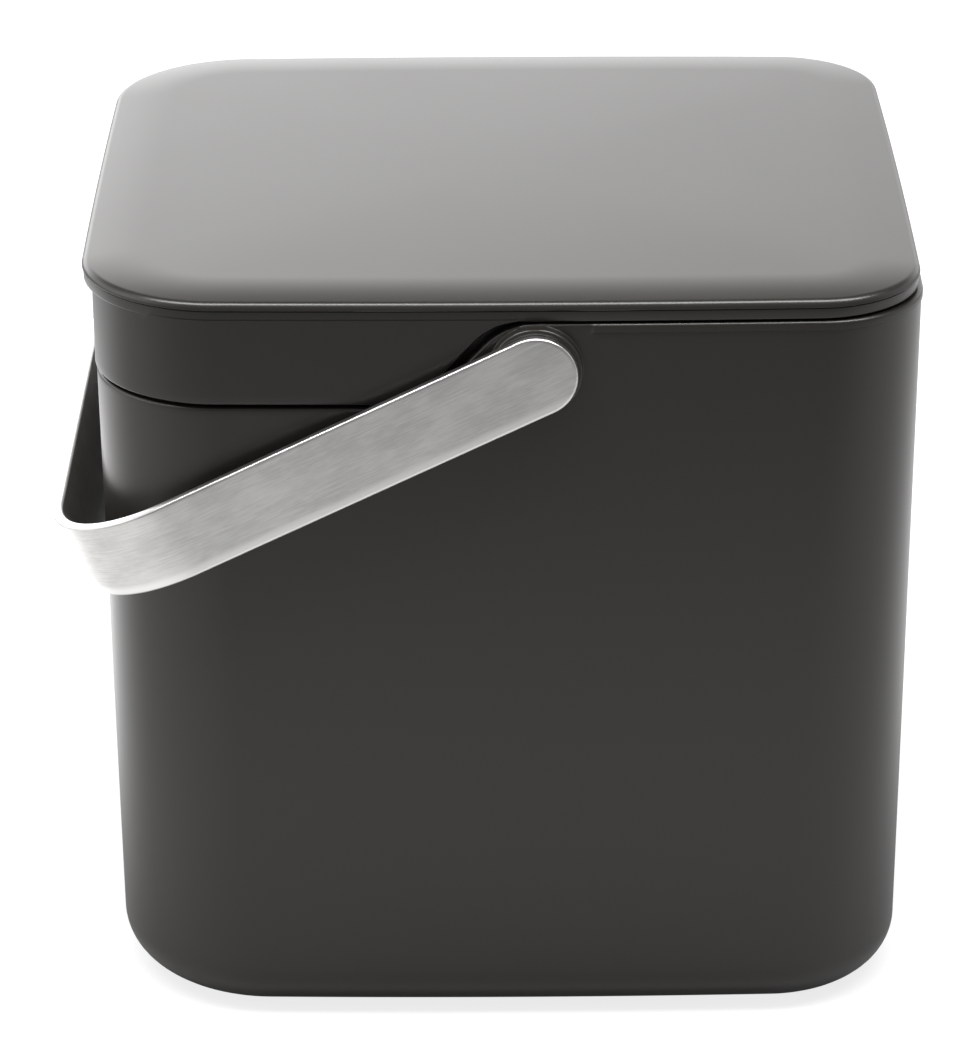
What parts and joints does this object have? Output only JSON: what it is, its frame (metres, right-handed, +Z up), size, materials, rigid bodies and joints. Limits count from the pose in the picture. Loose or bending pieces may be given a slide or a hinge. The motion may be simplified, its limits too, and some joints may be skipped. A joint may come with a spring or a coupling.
{
  "type": "compost caddy",
  "caption": "Small rounded kitchen compost caddy: tapered moulded bucket with a stepped rim, hinged lid with a deep front skirt, and a bent steel carrying handle.",
  "frame": {"origin": "middle of the flat base, on the surface that the caddy stands on", "axes": "+X across the caddy, to its right seen from the front; +Y from the low front to the hinge at the back; +Z up"},
  "size_m": [0.198, 0.2176, 0.2003],
  "materials": {
    "bucket_plastic": "satin dark warm grey, fine moulded grain",
    "cover_plastic": "satin dark warm grey, softly reflective top",
    "frame_plastic": "satin dark warm grey",
    "strap_steel": "stainless steel brushed along its length",
    "pin_steel": "turned stainless steel"
  },
  "bodies": {
    "bucket": {"bucket": "bucket_plastic", "hinge_pin_left": "pin_steel", "hinge_pin_right": "pin_steel"},
    "lid": {"lid_cover": "cover_plastic", "lid_frame": "frame_plastic"},
    "handle": {"handle_strap": "strap_steel", "pivot_stud_left": "pin_steel", "pivot_stud_right": "pin_steel", "stud_cap_left": "frame_plastic", "stud_cap_right": "frame_plastic"}
  },
  "joints": [
    {"name": "lid_hinge", "type": "hinge", "parent": "bucket", "child": "lid", "pos_m": [0, 0.1002, 0.1902], "axis": [-1, 0, 0], "range_deg": [0, 101]},
    {"name": "handle_swing", "type": "hinge", "parent": "bucket", "child": "handle", "pos_m": [0, 0.0068, 0.1819], "axis": [-1, 0, 0], "range_deg": [0, 239]}
  ]
}
